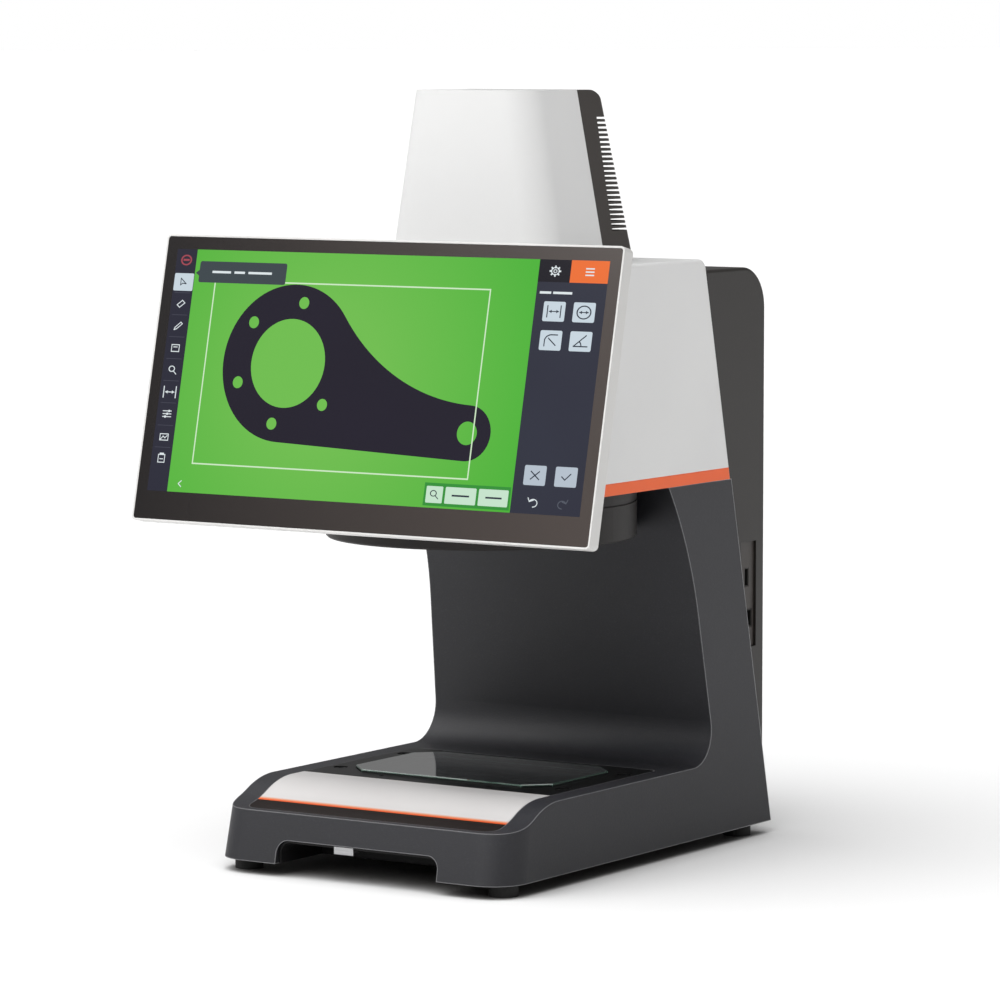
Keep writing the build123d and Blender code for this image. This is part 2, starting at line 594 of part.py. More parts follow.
def rear_housing():
    half = HOUSING_W / 2
    shell = across(housing_outline(0, False), half)
    rims = [f.edges() for f in (shell.faces().sort_by(Axis.X)[0], shell.faces().sort_by(Axis.X)[-1])]
    rear = [e for rim in rims for e in rim if (e @ 0.5).Y > back_y((e @ 0.5).Z) + 0.1 and (e @ 0.5).Z > HOUSING_FOOT_Z + 5]
    shell = fillet(rear, HOUSING_EDGE_R)
    shell -= across(housing_outline(HOUSING_T, True), half - HOUSING_T)
    # recess for the ports on the right side, with a pocket behind it
    port = (PORT_Y, PORT_Y + PORT_W, PORT_Z, PORT_Z + PORT_H)
    pocket = block(half - PORT_DEPTH - 4, half, PORT_Y - 2, PORT_Y + PORT_W + 2, PORT_Z - 2, PORT_Z + PORT_H + 2)
    shell += pocket & across(housing_outline(0.5, False), half - 0.5)
    shell -= block(half - PORT_DEPTH, half + 1, *port)
    shell -= block(half - PORT_DEPTH - 5, half, PORT_Y + 2, PORT_Y + PORT_W - 2, PORT_Z + 2, PORT_Z + PORT_H - 2)
    inlet_hole = block(INLET_X - INLET_W / 2, INLET_X + INLET_W / 2, HOUSING_BACK_Y - 5, HOUSING_BACK_Y + 1,
                       INLET_Z - INLET_H / 2, INLET_Z + INLET_H / 2)
    shell -= inlet_hole
    switch_x = INLET_X + SWITCH_STEP
    shell -= block(switch_x - SWITCH_W / 2, switch_x + SWITCH_W / 2, HOUSING_BACK_Y - 5, HOUSING_BACK_Y + 1,
                   INLET_Z - SWITCH_H / 2, INLET_Z + SWITCH_H / 2)
    inner_y = HOUSING_BACK_Y - HOUSING_T
    posts, screws, sockets = [], [], []
    for x in (-HOUSING_POST_X, HOUSING_POST_X):
        for z in (DECK_Z - STAGE_T - 1.5, HEAD_Z - COLUMN_WALL / 2):
            root = back_y(z) - HOUSING_POST_SINK
            shell -= along_y(x, inner_y - 1, HOUSING_BACK_Y + 1, z, SCREW_SHANK_R)
            bore = along_y(x, inner_y - 8, inner_y, z, SCREW_SHANK_R)
            posts.append(along_y(x, root, inner_y, z, HOUSING_POST_R) - bore)
            sockets.append(along_y(x, root, HOUSING_BACK_Y, z, HOUSING_POST_R))
            screw = along_y(x, inner_y - 7, HOUSING_BACK_Y, z, SCREW_SHANK_R)
            screws.append(screw + along_y(x, HOUSING_BACK_Y, HOUSING_BACK_Y + SCREW_HEAD_H, z, SCREW_HEAD_R))
    parts["rear_housing"] = shell
    parts["housing_posts"] = Compound(posts)
    parts["housing_screws"] = Compound(screws)
    return sockets


def ports_and_power():
    half = HOUSING_W / 2
    face_x = half - PORT_DEPTH
    middle = PORT_Y + PORT_W / 2
    plate = block(face_x, face_x + 1.2, PORT_Y + SEAT, PORT_Y + PORT_W - SEAT, PORT_Z + SEAT, PORT_Z + PORT_H - SEAT)
    network = (middle - 8, middle + 8, PORT_Z + 14, PORT_Z + 27.5)
    serial = (middle - 3, middle + 3, PORT_Z + 44, PORT_Z + 57.6)
    shells = []
    for y0, y1, z0, z1 in (network, serial):
        plate -= block(face_x - 1, half, y0, y1, z0, z1)
        wall = 0.8 if y1 - y0 < 10 else 1.2
        shell = block(face_x - 12, face_x + 1.0, y0 + 0.1, y1 - 0.1, z0 + 0.1, z1 - 0.1)
        shell -= block(face_x - 10, half, y0 + wall, y1 - wall, z0 + wall, z1 - wall)
        shells.append(shell)
    parts["port_panel"] = plate
    parts["port_sockets"] = Compound(shells)

    back = HOUSING_BACK_Y
    body = block(INLET_X - INLET_W / 2 + 0.1, INLET_X + INLET_W / 2 - 0.1, back - INLET_DEPTH, back,
                 INLET_Z - INLET_H / 2 + 0.1, INLET_Z + INLET_H / 2 - 0.1)
    flange = block(INLET_X - INLET_W / 2 - 2, INLET_X + INLET_W / 2 + 2, back, back + 2.4,
                   INLET_Z - INLET_H / 2 - 2, INLET_Z + INLET_H / 2 + 2)
    mouth = chamfer(Rectangle(24, 16.4).vertices().group_by(Axis.Y)[-1], 4)
    body = body + flange - Pos(INLET_X, back + 3, INLET_Z) * extrude(Plane.XZ * mouth, amount=INLET_DEPTH - 2)
    parts["power_inlet"] = body
    blades = [(INLET_X - 7, INLET_Z - 2), (INLET_X, INLET_Z + 2), (INLET_X + 7, INLET_Z - 2)]
    floor = back + 3 - INLET_DEPTH + 2
    parts["inlet_pins"] = Compound([block(x - 1, x + 1, floor, back - 2, z - 2, z + 2) for x, z in blades])

    x = INLET_X + SWITCH_STEP
    frame = block(x - SWITCH_W / 2 + 0.1, x + SWITCH_W / 2 - 0.1, back - 14, back,
                  INLET_Z - SWITCH_H / 2 + 0.1, INLET_Z + SWITCH_H / 2 - 0.1)
    frame += block(x - SWITCH_W / 2 - 1.4, x + SWITCH_W / 2 + 1.4, back, back + 2,
                   INLET_Z - SWITCH_H / 2 - 1.4, INLET_Z + SWITCH_H / 2 + 1.4)
    room = 1.2
    frame -= block(x - SWITCH_W / 2 + room, x + SWITCH_W / 2 - room, back - 11, back + 3,
                   INLET_Z - SWITCH_H / 2 + room, INLET_Z + SWITCH_H / 2 - room)
    pivot_y = back - 6
    frame += along_x(x - SWITCH_W / 2 + room - 0.1, x - SWITCH_W / 2 + room + 1.4, pivot_y, INLET_Z, 0.9)
    frame += along_x(x + SWITCH_W / 2 - room - 1.4, x + SWITCH_W / 2 - room + 0.1, pivot_y, INLET_Z, 0.9)
    parts["switch_frame"] = frame
    key_w = SWITCH_W - 2 * room - 0.6
    long, rise = SWITCH_H / 2 - room - 1.6, back + 2.2 - pivot_y
    face = outline((-3.5, -3), (rise - 2.6, -long), (rise, -long), (rise - 1.4, 0), (rise, long), (rise - 2.6, long),
                   (-3.5, 3))
    key = Pos(x, pivot_y, INLET_Z) * Rot(ROCKER_SWING, 0, 0) * across(face, key_w / 2)
    key -= along_x(x - SWITCH_W, x + SWITCH_W, pivot_y, INLET_Z, 0.95)
    parts["power_rocker"] = key


def electronics():
    wall = COLUMN_FOOT_Y + COLUMN_WALL
    relief_y = AXIS_Y + DRUM_R + DRUM_RELIEF + COLUMN_WALL
    low, high = SUPPLY_Z + BRACKET_INSET, SUPPLY_Z + SUPPLY_H - BRACKET_INSET
    foot_z, top_z = DECK_Z - STAGE_T, DRUM_Z - COLUMN_WALL

    def wall_y(z):
        return wall + (relief_y - wall) * (z - foot_z) / (top_z - foot_z)

    supply_y = wall + 6
    bracket = outline((wall_y(low), low), (supply_y, low), (supply_y, high), (wall_y(high), high))
    parts["supply_bracket"] = across(bracket, SUPPLY_W / 3)
    parts["power_supply"] = block(-SUPPLY_W / 2, SUPPLY_W / 2, supply_y, supply_y + SUPPLY_DEPTH,
                                  SUPPLY_Z, SUPPLY_Z + SUPPLY_H)
    inner_y = HOUSING_BACK_Y - HOUSING_T
    board_y = inner_y - 9
    post_x = BOARD_W / 2 - BOARD_POST_INSET
    post_z = (BOARD_Z + BOARD_POST_INSET, BOARD_Z + BOARD_H - BOARD_POST_INSET)
    spots = [(x, z) for x in (-post_x, post_x) for z in post_z]
    parts["board_posts"] = Compound([along_y(x, board_y + BOARD_T, inner_y, z, 3) for x, z in spots])
    parts["controller_board"] = block(-BOARD_W / 2, BOARD_W / 2, board_y, board_y + BOARD_T, BOARD_Z, BOARD_Z + BOARD_H)
    sink = block(-SINK_W / 2, SINK_W / 2, board_y - SINK_BASE_T, board_y, SINK_Z, SINK_Z + SINK_W)
    pitch = (SINK_W - SINK_FIN_T) / (SINK_FINS - 1)
    for i in range(SINK_FINS):
        x = -SINK_W / 2 + i * pitch
        sink += block(x, x + SINK_FIN_T, board_y - SINK_DEPTH, board_y - SINK_BASE_T, SINK_Z, SINK_Z + SINK_W)
    parts["heat_sink"] = sink


def revolved(*points):
    """Solid of revolution round the optical axis, drawn as (radius, z)."""
    return Pos(0, AXIS_Y, 0) * revolve(Plane.XZ * outline(*points), Axis.Z)


def ring(inner, outer, z0, z1):
    return disc(0, AXIS_Y, z0, z1, outer) - disc(0, AXIS_Y, z0, z1, inner)


def optics():
    channel_top = DRUM_Z + RING_DEPTH
    seat_z = DRUM_Z + 5.4
    drum = chamfer(disc(0, AXIS_Y, DRUM_Z, HEAD_Z, DRUM_R).edges().group_by(Axis.Z)[0], DRUM_EDGE)
    drum -= ring(DRUM_R - 1, DRUM_R + 1, DRUM_GROOVE_Z, DRUM_GROOVE_Z + 1.2)
    drum -= ring(RING_INNER_R, RING_OUTER_R, DRUM_Z, channel_top)
    drum -= disc(0, AXIS_Y, DRUM_Z, HEAD_Z, LENS_R - 4)
    drum -= disc(0, AXIS_Y, seat_z, HEAD_Z, LENS_R)
    parts["lens_drum"] = drum

    top = seat_z + LENS_T
    radius = LENS_R - 0.1
    lens = disc(0, AXIS_Y, seat_z, top, radius)
    parts["objective_lens"] = chamfer(lens.edges().group_by(Axis.Z)[-1], LENS_EDGE, LENS_SLOPE_W)
    rim_z = top - LENS_EDGE
    parts["lens_retainer"] = ring(LENS_R - 4, radius, rim_z, rim_z + 4) - parts["objective_lens"]
    parts["ring_board"] = ring(RING_INNER_R + 0.2, RING_OUTER_R - 0.2, channel_top - 1.6, channel_top)
    middle = (RING_INNER_R + RING_OUTER_R) / 2
    leds = [Pos(0, AXIS_Y, channel_top - 2.4) * place * Box(5, 5, 1.6) for place in PolarLocations(middle, RING_LEDS)]
    parts["ring_leds"] = Compound(leds)
    parts["ring_diffuser"] = ring(RING_INNER_R + 0.1, RING_OUTER_R - 0.1, DRUM_Z + 1, DRUM_Z + 3)

    plate_top = HEAD_Z + HEAD_PLATE_T
    t = BARREL_T
    flange_top = plate_top + 5
    shoulder = flange_top + 12
    parts["lens_barrel"] = revolved(
        (BARREL_R, HEAD_Z), (BARREL_R, plate_top), (BARREL_FLANGE_R, plate_top), (BARREL_FLANGE_R, flange_top),
        (BARREL_R, flange_top), (BARREL_R, shoulder), (BARREL_WAIST_R, shoulder), (BARREL_WAIST_R, BARREL_WAIST_Z),
        (BARREL_WAIST_R / 2, BARREL_WAIST_Z), (BARREL_WAIST_R / 2, BARREL_NECK_Z), (BARREL_NECK_R, BARREL_NECK_Z),
        (BARREL_NECK_R, BARREL_TOP_Z), (BARREL_NECK_R - t, BARREL_TOP_Z), (BARREL_NECK_R - t, BARREL_WAIST_Z - t),
        (BARREL_WAIST_R - t, BARREL_WAIST_Z - t), (BARREL_WAIST_R - t, shoulder - t), (BARREL_R - t, shoulder - t),
        (BARREL_R - t, HEAD_Z))
    bore = BARREL_NECK_R - t
    stop = ring(5, bore, BARREL_NECK_Z + 4, BARREL_NECK_Z + 7)
    parts["aperture_stop"] = stop
    camera = block(-CAMERA_W / 2, CAMERA_W / 2, AXIS_Y - CAMERA_W / 2, AXIS_Y + CAMERA_W / 2,
                   BARREL_TOP_Z, BARREL_TOP_Z + CAMERA_H)
    camera = chamfer(camera.edges().filter_by(Axis.Z), 1.5)
    camera -= disc(0, AXIS_Y, BARREL_TOP_Z, BARREL_TOP_Z + 12, BARREL_NECK_R - t)
    parts["camera_body"] = camera
    parts["image_sensor"] = block(-7, 7, AXIS_Y - 5.5, AXIS_Y + 5.5, BARREL_TOP_Z + 10.5, BARREL_TOP_Z + 12)
    bolts = [Pos(0, AXIS_Y, 0) * place * (disc(0, 0, plate_top - 6, plate_top + 5, 2)
             + hexagon(0, 0, plate_top + 5, plate_top + 8, 3.5)) for place in PolarLocations((BARREL_R + BARREL_FLANGE_R) / 2, 6)]
    parts["barrel_screws"] = Compound(bolts)
    holes = [Pos(0, AXIS_Y, 0) * place * disc(0, 0, plate_top - 6, plate_top + 6, 2)
             for place in PolarLocations((BARREL_R + BARREL_FLANGE_R) / 2, 6)]
    parts["lens_barrel"] -= holes
    parts["head_plate"] -= holes


def fan():
    front = tower_joint_y(FAN_Z) - 4
    back = front + FAN_T
    bracket_y = front - FAN_BRACKET_T
    low, high = HEAD_TOP_Z, FAN_Z + FAN_W / 2 + 4
    face = make_face(Polyline((-tower_half(low) + TOWER_T + 1, low), (-tower_half(high) + TOWER_T + 1, high),
                              (tower_half(high) - TOWER_T - 1, high), (tower_half(low) - TOWER_T - 1, low),
                              close=True))
    bracket = Pos(0, front, 0) * extrude(Plane.XZ * face, amount=FAN_BRACKET_T)
    bracket -= along_y(0, bracket_y - 1, front + 1, FAN_Z, FAN_BORE_R)
    parts["fan_bracket"] = bracket
    box = block(-FAN_W / 2, FAN_W / 2, front, back, FAN_Z - FAN_W / 2, FAN_Z + FAN_W / 2)
    box -= along_y(0, front - 1, back + 1, FAN_Z, FAN_BORE_R)
    spider = along_y(0, back - 3, back, FAN_Z, FAN_HUB_R)
    for angle in (45, 135):
        arm = Pos(0, back - 1, FAN_Z) * Rot(0, angle, 0) * Box(2 * FAN_BORE_R + 4, 2, 4)
        spider += arm
    bush = FAN_SHAFT_R + FAN_SHAFT_CLEAR
    parts["fan_frame"] = box + spider - along_y(0, back - 4, back + 1, FAN_Z, bush)
    hub_back = back - 3 - SEAT
    rotor = along_y(0, front + 1, hub_back, FAN_Z, FAN_HUB_R)
    rotor += along_y(0, hub_back, back - 0.4, FAN_Z, FAN_SHAFT_R)
    depth = hub_back - front - 1
    span = FAN_BORE_R - FAN_TIP_GAP - FAN_HUB_R
    blade = Pos(0, 0, FAN_HUB_R + span / 2 - 0.5) * Rot(0, 0, 52) * Box(1.4, depth, span + 1)
    for i in range(FAN_BLADES):
        rotor += Pos(0, front + 1 + depth / 2, FAN_Z) * Rot(0, i * 360 / FAN_BLADES, 0) * blade
    rim = along_y(0, front + 1, hub_back, FAN_Z, FAN_BORE_R - FAN_TIP_GAP)
    rotor &= rim + along_y(0, hub_back, back, FAN_Z, FAN_SHAFT_R)
    parts["fan_rotor"] = rotor


def tower_half(z):
    rise = (z - HEAD_TOP_Z) / (TOWER_TOP_Z - HEAD_TOP_Z)
    return (TOWER_FOOT_W + (TOWER_TOP_W - TOWER_FOOT_W) * rise) / 2


def tower_joint_y(z):
    rise = (z - HEAD_TOP_Z) / (TOWER_TOP_Z - HEAD_TOP_Z)
    return TOWER_FOOT_JOINT_Y + (TOWER_TOP_JOINT_Y - TOWER_FOOT_JOINT_Y) * rise


def screen_slab(grow, y0, y1, corner_r):
    """Plate with the outline of the cover glass, grown on all sides."""
    low = -SCREEN_H / 2 - BEZEL_FOOT - grow
    high = SCREEN_H / 2 + BEZEL_TOP + grow
    plan = fillet(Rectangle(SCREEN_W + 2 * BEZEL_SIDE + 2 * grow, high - low).vertices(), corner_r)
    return Pos(0, y1, (low + high) / 2) * extrude(Plane.XZ * plan, amount=y1 - y0)


def bulge_solid(inset, depth):
    """Raised middle of the display's back, with drafted sides."""
    draft = BULGE_DRAFT * depth / BULGE_DEPTH

    def level(grow, z):
        plan = Rectangle(BULGE_W - 2 * grow, BULGE_H - 2 * grow)
        return Pos(0, 0, z) * fillet(plan.vertices(), BULGE_R)

    return Pos(0, SHELL_DEPTH, 0) * Rot(-90, 0, 0) * loft([level(inset, 0), level(inset + draft, depth)])


def display():
    glass = screen_slab(0, 0, COVER_GLASS_T, BEZEL_R)
    case = screen_slab(RIM_T, 0, SHELL_DEPTH, BEZEL_R + RIM_T)
    case = fillet(case.edges().group_by(Axis.Y)[-1], SHELL_BACK_R)
    case -= screen_slab(0.1, -1, COVER_GLASS_T, BEZEL_R)
    case -= screen_slab(-3, 0, SHELL_DEPTH - SHELL_T, 1)
    local = {"display_glass": glass, "display_case": case}
    panel = Box(SCREEN_W + 8, 6, SCREEN_H + 8)
    local["lcd_panel"] = Pos(0, COVER_GLASS_T + 3, 0) * panel
    local["display_board"] = block(-90, 90, COVER_GLASS_T + 8, SHELL_DEPTH - SHELL_T, -50, 40)
    spacer = block(-80, 80, COVER_GLASS_T + 6, COVER_GLASS_T + 8, -40, 30)
    local["display_board"] += spacer
    rear = SHELL_DEPTH + BULGE_DEPTH
    bulge = bulge_solid(0, BULGE_DEPTH) - bulge_solid(BULGE_T, BULGE_DEPTH - BULGE_T)
    for i in range(-6, 7):
        x = i * 8
        bulge -= block(x - 1.5, x + 1.5, rear - 4, rear + 1, BULGE_H / 2 - 16, BULGE_H / 2 - 12)
    local["display_back"] = bulge
    plate = block(-MOUNT_PLATE_W / 2, MOUNT_PLATE_W / 2, rear, rear + MOUNT_PLATE_T,
                  -MOUNT_PLATE_H / 2, MOUNT_PLATE_H / 2 - 8)
    ear_x = ARM_W / 2 + KNUCKLE_GAP
    plate -= block(-ear_x, ear_x, rear - 1, PIVOT_DEPTH, -KNUCKLE_R - 1, KNUCKLE_R + 1)
    for side in (-1, 1):
        x0, x1 = sorted((side * ear_x, side * (ear_x + EAR_W)))
        plate += block(x0, x1, rear, PIVOT_DEPTH, -KNUCKLE_R, KNUCKLE_R)
        plate += along_x(x0, x1, PIVOT_DEPTH, 0, KNUCKLE_R)
    plate -= along_x(-MOUNT_PLATE_W, MOUNT_PLATE_W, PIVOT_DEPTH, 0, PIN_R + PIN_CLEAR)
    screw_spots = [(i * 42, z) for i in (-1, 1) for z in (-30, 24)]
    screw = along_y(0, rear - 2, rear + MOUNT_PLATE_T, 0, SCREW_SHANK_R)
    screw += along_y(0, rear + MOUNT_PLATE_T, rear + MOUNT_PLATE_T + SCREW_HEAD_H, 0, SCREW_HEAD_R)
    for x, z in screw_spots:
        plate -= along_y(x, rear - 1, rear + MOUNT_PLATE_T + 1, z, SCREW_SHANK_R + 0.1)
        local["display_back"] -= along_y(x, rear - 2.5, rear + 1, z, SCREW_SHANK_R)
    local["display_mount"] = plate
    local["mount_screws"] = Compound([Pos(x, 0, z) * screw for x, z in screw_spots])
    post_depth = PIVOT_DEPTH + 17
    arm = along_x(-ARM_W / 2, ARM_W / 2, PIVOT_DEPTH, 0, KNUCKLE_R)
    arm += block(-ARM_W / 2, ARM_W / 2, PIVOT_DEPTH, post_depth, -KNUCKLE_R + 1, KNUCKLE_R - 1)
    arm -= along_x(-ARM_W, ARM_W, PIVOT_DEPTH, 0, PIN_R)
    local["display_arm"] = arm
    pin_half = ear_x + EAR_W + 0.6
    pin = along_x(-pin_half, pin_half, PIVOT_DEPTH, 0, PIN_R)
    for side in (-1, 1):
        x0, x1 = sorted((side * pin_half, side * (pin_half + 2)))
        pin += along_x(x0, x1, PIVOT_DEPTH, 0, PIN_R + 1.6)
    local["hinge_pin"] = pin
    # upright plate inside the head that carries the arm
    foot_z = HEAD_Z + HEAD_PLATE_T
    upright = block(-46, 46, post_depth, post_depth + 4, HEAD_Z - SCREEN_Z - 60, 26)
    upright = on_screen(upright) & block(-BODY_W, BODY_W, 0, BASE_L, foot_z, HEAD_TOP_Z)
    foot_y = head_front_y(foot_z) + COVER_T + 7
    foot = block(-46, 46, foot_y, AXIS_Y - BARREL_FLANGE_R - 1, foot_z, foot_z + 4)
    parts["arm_post"] = upright + foot
    for name, piece in local.items():
        parts[name] = on_screen(piece)


front_panels()
clamp_drills = stage()
bosses, base_drills = feet_and_bottom()
backlight()
head()
tower()
post_sockets = rear_housing()
ports_and_power()
electronics()
optics()
fan()
display()
parts["base_frame"] = base_frame() + bosses - (clamp_drills + base_drills + post_sockets)

# origin under the middle of the whole machine, then one file per piece
box = Compound(list(parts.values())).bounding_box()
middle = Pos(-box.center().X, -box.center().Y, -box.min.Z)
for name, piece in parts.items():
    export_step(middle * piece, f"parts/{name}.step")
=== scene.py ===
import json
from math import acos, atan2, cos, pi, radians, sin, tau

import bmesh
import bpy
from mathutils import Matrix, Vector


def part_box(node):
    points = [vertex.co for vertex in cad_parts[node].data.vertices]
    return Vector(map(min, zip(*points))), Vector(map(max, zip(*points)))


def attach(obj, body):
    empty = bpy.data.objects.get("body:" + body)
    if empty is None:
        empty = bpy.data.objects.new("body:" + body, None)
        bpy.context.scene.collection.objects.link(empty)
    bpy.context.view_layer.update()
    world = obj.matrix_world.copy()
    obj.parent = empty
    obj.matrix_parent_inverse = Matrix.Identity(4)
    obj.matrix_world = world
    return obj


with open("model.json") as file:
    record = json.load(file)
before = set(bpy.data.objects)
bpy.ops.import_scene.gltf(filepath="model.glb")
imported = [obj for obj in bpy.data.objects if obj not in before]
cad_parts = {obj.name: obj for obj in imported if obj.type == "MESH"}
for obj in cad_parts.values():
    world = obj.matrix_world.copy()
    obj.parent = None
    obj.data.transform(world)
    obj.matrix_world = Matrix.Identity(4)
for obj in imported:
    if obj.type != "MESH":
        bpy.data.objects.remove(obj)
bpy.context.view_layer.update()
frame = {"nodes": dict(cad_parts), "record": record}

# The machine's own frame is in metres. place() takes millimetres, with y counted
# back from the front edge of the base.
MM = 0.001
BASE_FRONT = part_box("base_frame")[0][1]

# The display: the middle of its lit area, its lean, and the size of the lit area
SCREEN_Y = 23.0
SCREEN_Z = 345.5
SCREEN_TILT = 12.65
SCREEN_W = 357.2
SCREEN_H = 171.1


def place(x, y, z):
    return Vector((x * MM, BASE_FRONT + y * MM, z * MM))


def ink(code):
    """Linear colour from a hex code."""
    parts = [int(code[i:i + 2], 16) / 255 for i in (1, 3, 5)]
    return [p / 12.92 if p <= 0.04045 else ((p + 0.055) / 1.055) ** 2.4 for p in parts] + [1.0]


# Finishes

class Value:
    """A node's output, which takes part in sums."""

    def __init__(self, graph, socket):
        self.graph = graph
        self.socket = socket

    def sum(self, operation, first, second):
        return self.graph.node("Math", {"operation": operation}, {0: first, 1: second})

    def __add__(self, other):
        return self.sum("ADD", self, other)

    __radd__ = __add__

    def __mul__(self, other):
        return self.sum("MULTIPLY", self, other)

    __rmul__ = __mul__

    def __sub__(self, other):
        return self.sum("SUBTRACT", self, other)

    def __rsub__(self, other):
        return self.sum("SUBTRACT", other, self)

    def above(self, limit):
        return self.sum("GREATER_THAN", self, limit)

    def between(self, low, high):
        """0 at low and 1 at high, and no further."""
        return self.graph.node("MapRange", {}, {"Value": self, "From Min": low, "From Max": high})


class Graph:
    """The nodes of a material or of the room's light."""

    def __init__(self, tree):
        self.tree = tree

    def feed(self, socket, value):
        if isinstance(value, Value):
            self.tree.links.new(value.socket, socket)
        else:
            socket.default_value = value

    def node(self, kind, settings, inputs, output=0):
        made = self.tree.nodes.new("ShaderNode" + kind)
        for name, value in settings.items():
            setattr(made, name, value)
        for name, value in inputs.items():
            self.feed(made.inputs[name], value)
        return Value(self, made.outputs[output])


class Finish(Graph):
    """A material. Its textures lie in the machine's frame, in metres."""

    def __init__(self, name, color, roughness, **constants):
        self.material = bpy.data.materials.new(name)
        self.material.use_nodes = True
        super().__init__(self.material.node_tree)
        self.shader = self.tree.nodes["Principled BSDF"]
        self.paint(color).set(Roughness=roughness, **constants)

    def set(self, **inputs):
        for name, value in inputs.items():
            self.feed(self.shader.inputs[name.replace("_", " ")], value)
        return self

    def paint(self, color):
        """Base colour, kept for a finish that adds to it."""
        self.color = color
        return self.set(Base_Color=color)

    def where(self):
        return self.node("TexCoord", {}, {}, output="Object")

    def along(self, axis):
        """Place along the machine's X, Y or Z."""
        return self.node("SeparateXYZ", {}, {0: self.where()}, output=axis)

    def noise(self, scale, detail):
        return self.node("TexNoise", {}, {"Vector": self.where(), "Scale": scale, "Detail": detail})

    def measure(self, operation, first, second):
        """One number from two vectors."""
        return self.node("VectorMath", {"operation": operation}, {0: first, 1: second}, output="Value")

    def edges(self, radius):
        """1 along sharp edges, 0 on flat faces."""
        soft = self.node("Bevel", {"samples": 8}, {"Radius": radius})
        true = self.node("NewGeometry", {}, {}, output="Normal")
        return self.measure("DOT_PRODUCT", soft, true).between(0.98, 0.84)

    def painted_shade_mask(self, distance, low, high):
        """1 where the share of open sky is low, as in corners and under edges, and 0 where it is high; the
        mask of painted shade.
        """
        sky = self.node("AmbientOcclusion", {"samples": 8}, {"Distance": distance}, output="AO")
        return 1 - sky.between(low, high)

    def blend(self, share, first, second):
        return self.node("Mix", {"data_type": "RGBA"}, {0: share, 6: first, 7: second}, output=2)

    def bumped(self, height, depth, edge=0.0006):
        """Fine relief, and edges that are rounded for the light."""
        soft = self.node("Bevel", {"samples": 6}, {"Radius": edge})
        return self.set(Normal=self.node("Bump", {}, {"Height": height, "Distance": depth, "Normal": soft}))


def moulded(name, dark, light, roughness, grain=1500.0, depth=0.00002, gloss=0.5):
    """Moulded plastic or paint: a slow change of tone, and a fine grain."""
    finish = Finish(name, ink(dark), roughness, Specular_IOR_Level=gloss)
    slow = finish.noise(9.0, 3.0)
    fine = finish.noise(grain, 1.0)
    finish.paint(finish.blend(slow, ink(dark), ink(light)))
    finish.set(Roughness=roughness - 0.05 + fine * 0.06 + slow * 0.05)
    return finish.bumped(fine, depth)


def cast_paint():
    """Textured dark paint of the cast frame, darker in the throat as painted shade, and lighter along its
    edges as a painted highlight.
    """
    finish = Finish("frame paint", ink("#2b2b2d"), 0.5, Specular_IOR_Level=0.4)
    speck = finish.noise(620.0, 2.0)
    orange_peel = finish.noise(1300.0, 2.0)
    tone = finish.blend(finish.noise(6.0, 3.0), ink("#2a2a2d"), ink("#313136"))
    speckled = finish.blend(speck.above(0.62) * 0.1, tone, ink("#505056"))
    # painted shade: the paint is darkened where little sky is open, as in the throat
    shaded = finish.blend(finish.painted_shade_mask(0.16, 0.38, 1.0), speckled, ink("#131317"))
    # painted highlight: light lines along the edges, stronger towards the back of the frame
    toward_back = finish.along("Y").between(0.09, 0.15)
    painted_edge_highlight = finish.edges(0.0015) * (toward_back * 0.6 + 0.4)
    finish.paint(finish.blend(painted_edge_highlight, shaded, ink("#c6c6c9")))
    finish.set(Roughness=0.42 + orange_peel * 0.16)
    return finish.bumped(orange_peel + speck * 0.6, 0.00008, edge=0.0016)


def panel_paint():
    """Light panel with a fine peach margin along the orange line."""
    finish = moulded("light panel", "#cfcccb", "#d8d6d5", 0.35)
    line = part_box("front_stripe")[1][2]
    margin = finish.along("Z").between(line + 0.0010, line + 0.0002)
    return finish.paint(finish.blend(margin, finish.color, ink("#e2946f")))


def brushed(name, dark, light, roughness):
    """Metal with fine lines along X."""
    finish = Finish(name, ink(dark), roughness, Metallic=1.0)
    drawn = finish.node("Mapping", {}, {"Vector": finish.where(), "Scale": (1.0, 30.0, 30.0)})
    lines = finish.node("TexNoise", {}, {"Vector": drawn, "Scale": 60.0, "Detail": 3.0})
    finish.paint(finish.blend(lines, ink(dark), ink(light)))
    finish.set(Roughness=roughness - 0.08 + lines * 0.16)
    return finish.bumped(lines, 0.00001)


def anodised(name, dark, light, roughness, metal):
    finish = Finish(name, ink(dark), roughness, Metallic=metal, Specular_IOR_Level=0.25)
    grain = finish.noise(2200.0, 1.0)
    finish.paint(finish.blend(finish.noise(14.0, 2.0), ink(dark), ink(light)))
    finish.set(Roughness=roughness - 0.06 + grain * 0.12)
    return finish.bumped(grain, 0.00001)


def clear_glass(name, tint, roughness, alpha):
    finish = Finish(name, ink(tint), roughness, Alpha=alpha, IOR=1.5)
    smear = finish.noise(35.0, 2.0)
    return finish.set(Roughness=roughness + smear * 0.03)


def stage_glass():
    """Thick plate glass over a dark well, with its ground edge painted light green as a painted glow."""
    well = "#0c1512"
    finish = clear_glass("stage glass", well, 0.01, 0.9)
    # painted glow: light green along the edges of the glass
    finish.paint(finish.blend(finish.edges(0.002), ink(well), ink("#9cc4b2")))
    return finish.set(Coat_Weight=1.0)


def cover_glass():
    """Black-backed glass of the display, with a painted reflection that makes it lighter to the right, and a
    faint haze.
    """
    finish = Finish("display glass", ink("#2a2624"), 0.12, IOR=1.5)
    haze = finish.noise(7.0, 2.0)
    # painted reflection: the glass is lighter towards the right
    side = finish.along("X").between(-0.19, 0.19)
    finish.paint(finish.blend(side, ink("#1c1919"), ink("#443d3a")))
    return finish.set(Roughness=0.1 + haze * 0.05)


